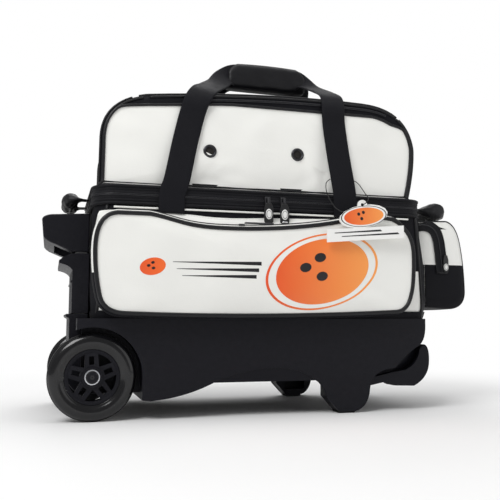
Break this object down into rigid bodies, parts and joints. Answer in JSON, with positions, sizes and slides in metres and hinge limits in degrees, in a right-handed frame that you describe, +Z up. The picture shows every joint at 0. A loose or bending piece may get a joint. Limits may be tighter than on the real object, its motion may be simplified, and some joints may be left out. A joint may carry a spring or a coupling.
{
  "type": "two-ball bowling bag with wheels",
  "caption": "Wheeled bag for bowling balls: moulded wheel base, soft ball compartment, hinged shoe compartment, pockets, folding carry straps and a telescoping pull handle.",
  "frame": {"origin": "on the ground, under the middle of the bag's box", "axes": "+X from the wheel end to the foot end, +Y from the front pocket to the back, +Z up"},
  "size_m": [0.728, 0.3365, 0.61],
  "materials": {
    "moulded_plastic": "fine moulded texture",
    "wheel_urethane": "glossy shoulder, satin tread",
    "bearing_steel": "satin",
    "handle_steel": "satin",
    "zip_metal": "dark gunmetal",
    "white_leather": "soft coated synthetic leather",
    "black_nylon": "woven nylon",
    "foam": "closed-cell foam",
    "tag_card": "gloss laminated",
    "elastic_cord": "round elastic",
    "rubber_sole": "matt"
  },
  "bodies": {
    "bag": {"base_tray": "moulded_plastic", "front_foot_sole": "rubber_sole", "rear_foot_sole": "rubber_sole", "lift_handle": "moulded_plastic", "front_wheel_bearing_inner": "bearing_steel", "rear_wheel_bearing_inner": "bearing_steel", "front_axle_bolt": "zip_metal", "rear_axle_bolt": "zip_metal", "handle_housing": "moulded_plastic", "handle_foot_bracket": "moulded_plastic", "front_handle_outer_tube": "handle_steel", "rear_handle_outer_tube": "handle_steel", "lower_body": "white_leather", "ball_cup_wheel_end": "foam", "ball_cup_foot_end": "foam", "main_zip_lower": "black_nylon", "front_pocket": "white_leather", "front_pocket_zip": "black_nylon", "end_pocket": "white_leather", "end_pocket_zip": "black_nylon", "front_strap_tail_wheel_end": "black_nylon", "rear_strap_tail_wheel_end": "black_nylon", "front_strap_tail_foot_end": "black_nylon", "rear_strap_tail_foot_end": "black_nylon"},
    "front_wheel": {"front_wheel_tyre": "wheel_urethane", "front_wheel_rim": "moulded_plastic", "front_wheel_bearing_outer": "bearing_steel"},
    "rear_wheel": {"rear_wheel_tyre": "wheel_urethane", "rear_wheel_rim": "moulded_plastic", "rear_wheel_bearing_outer": "bearing_steel"},
    "lower_stage": {"front_handle_lower_stage": "handle_steel", "rear_handle_lower_stage": "handle_steel"},
    "middle_stage": {"front_handle_middle_stage": "handle_steel", "rear_handle_middle_stage": "handle_steel"},
    "pull_handle": {"front_handle_upper_stage": "handle_steel", "rear_handle_upper_stage": "handle_steel", "pull_grip": "moulded_plastic"},
    "button": {"release_button": "moulded_plastic"},
    "lid": {"main_zip_upper": "black_nylon", "upper_body": "white_leather", "vent_eyelet_wheel_end": "zip_metal", "vent_eyelet_foot_end": "zip_metal"},
    "flap": {"top_flap": "white_leather"},
    "front_strap": {"front_carry_strap": "black_nylon", "front_grip_wrap": "black_nylon"},
    "rear_strap": {"rear_carry_strap": "black_nylon", "rear_grip_wrap": "black_nylon"},
    "tag": {"hang_tag": "tag_card", "tag_cord": "elastic_cord"},
    "wheel_end_slider": {"main_slider_wheel_end": "zip_metal"},
    "foot_end_slider": {"main_slider_foot_end": "zip_metal"},
    "wheel_end_pull": {"main_pull_wheel_end": "zip_metal"},
    "foot_end_pull": {"main_pull_foot_end": "zip_metal"},
    "front_pocket_slider": {"pocket_slider": "zip_metal"},
    "front_pocket_pull": {"pocket_pull": "zip_metal"},
    "side_pocket_slider": {"end_pocket_slider": "zip_metal"},
    "side_pocket_pull": {"end_pocket_pull": "zip_metal"},
    "wheel_end_handle": {"end_handle_wheel_end": "black_nylon"},
    "foot_end_handle": {"end_handle_foot_end": "black_nylon"}
  },
  "joints": [
    {"name": "front_wheel_spin", "type": "hinge", "parent": "bag", "child": "front_wheel", "pos_m": [-0.2875, -0.11785, 0.0635], "axis": [0, 1, 0], "continuous": true},
    {"name": "rear_wheel_spin", "type": "hinge", "parent": "bag", "child": "rear_wheel", "pos_m": [-0.2875, 0.14215, 0.0635], "axis": [0, 1, 0], "continuous": true},
    {"name": "handle_pull", "type": "slide", "parent": "middle_stage", "child": "pull_handle", "axis": [0, 0, 1], "range_m": [0, 0.185]},
    {"name": "lower_stage_slide", "type": "slide", "parent": "bag", "child": "lower_stage", "axis": [0, 0, 1], "range_m": [0, 0.185]},
    {"name": "middle_stage_slide", "type": "slide", "parent": "lower_stage", "child": "middle_stage", "axis": [0, 0, 1], "range_m": [0, 0.185]},
    {"name": "release_button_press", "type": "slide", "parent": "pull_handle", "child": "button", "axis": [0, 0, -1], "range_m": [0, 0.0022], "stiffness_N_per_m": 400},
    {"name": "front_strap_fold", "type": "hinge", "parent": "bag", "child": "front_strap", "pos_m": [0, -0.13885, 0.326], "axis": [1, 0, 0], "range_deg": [0, 100]},
    {"name": "rear_strap_fold", "type": "hinge", "parent": "bag", "child": "rear_strap", "pos_m": [0, 0.16315, 0.326], "axis": [-1, 0, 0], "range_deg": [0, 100]},
    {"name": "lid_open", "type": "hinge", "parent": "bag", "child": "lid", "pos_m": [0, 0.15565, 0.332], "axis": [-1, 0, 0], "range_deg": [0, 83]},
    {"name": "top_flap_open", "type": "hinge", "parent": "lid", "child": "flap", "pos_m": [0, 0.14265, 0.4873], "axis": [-1, 0, 0], "range_deg": [0, 15]},
    {"name": "tag_hang", "type": "hinge", "parent": "front_strap", "child": "tag", "pos_m": [0.12, -0.13185, 0.37], "axis": [1, 0, 0], "range_deg": [-100, 0]},
    {"name": "wheel_end_slider_travel", "type": "slide", "parent": "bag", "child": "wheel_end_slider", "axis": [1, 0, 0], "range_m": [-0.1, 0]},
    {"name": "foot_end_slider_travel", "type": "slide", "parent": "bag", "child": "foot_end_slider", "axis": [1, 0, 0], "range_m": [0, 0.07]},
    {"name": "wheel_end_pull_swing", "type": "hinge", "parent": "wheel_end_slider", "child": "wheel_end_pull", "pos_m": [-0.025, -0.14105, 0.326], "axis": [-1, 0, 0], "range_deg": [0, 75]},
    {"name": "foot_end_pull_swing", "type": "hinge", "parent": "foot_end_slider", "child": "foot_end_pull", "pos_m": [0.001, -0.14105, 0.326], "axis": [-1, 0, 0], "range_deg": [0, 75]},
    {"name": "front_pocket_slider_travel", "type": "slide", "parent": "bag", "child": "front_pocket_slider", "axis": [1, 0, 0], "range_m": [0, 0.12]},
    {"name": "front_pocket_pull_swing", "type": "hinge", "parent": "front_pocket_slider", "child": "front_pocket_pull", "pos_m": [-0.066, -0.14785, 0.2934], "axis": [0, -1, 0], "range_deg": [0, 25]},
    {"name": "end_pocket_slider_travel", "type": "slide", "parent": "bag", "child": "side_pocket_slider", "axis": [0, 0, -1], "range_m": [0, 0.04]},
    {"name": "end_pocket_pull_swing", "type": "hinge", "parent": "side_pocket_slider", "child": "side_pocket_pull", "pos_m": [0.3215, -0.07905, 0.258], "axis": [-1, 0, 0], "range_deg": [0, 75]},
    {"name": "wheel_end_handle_lift", "type": "hinge", "parent": "bag", "child": "wheel_end_handle", "pos_m": [-0.2938, 0.01215, 0.337], "axis": [0, 1, 0], "range_deg": [0, 75]},
    {"name": "foot_end_handle_lift", "type": "hinge", "parent": "bag", "child": "foot_end_handle", "pos_m": [0.2564, 0.01215, 0.342], "axis": [0, -1, 0], "range_deg": [0, 75]}
  ],
  "couplings": [
    {"joint": "lower_stage_slide", "follows": "handle_pull", "ratio": 1},
    {"joint": "middle_stage_slide", "follows": "handle_pull", "ratio": 1},
    {"joint": "rear_strap_fold", "follows": "front_strap_fold", "ratio": 1},
    {"joint": "lid_open", "follows": "front_strap_fold", "ratio": 0.83},
    {"joint": "top_flap_open", "follows": "front_strap_fold", "ratio": 0.15},
    {"joint": "tag_hang", "follows": "front_strap_fold", "ratio": -1}
  ]
}
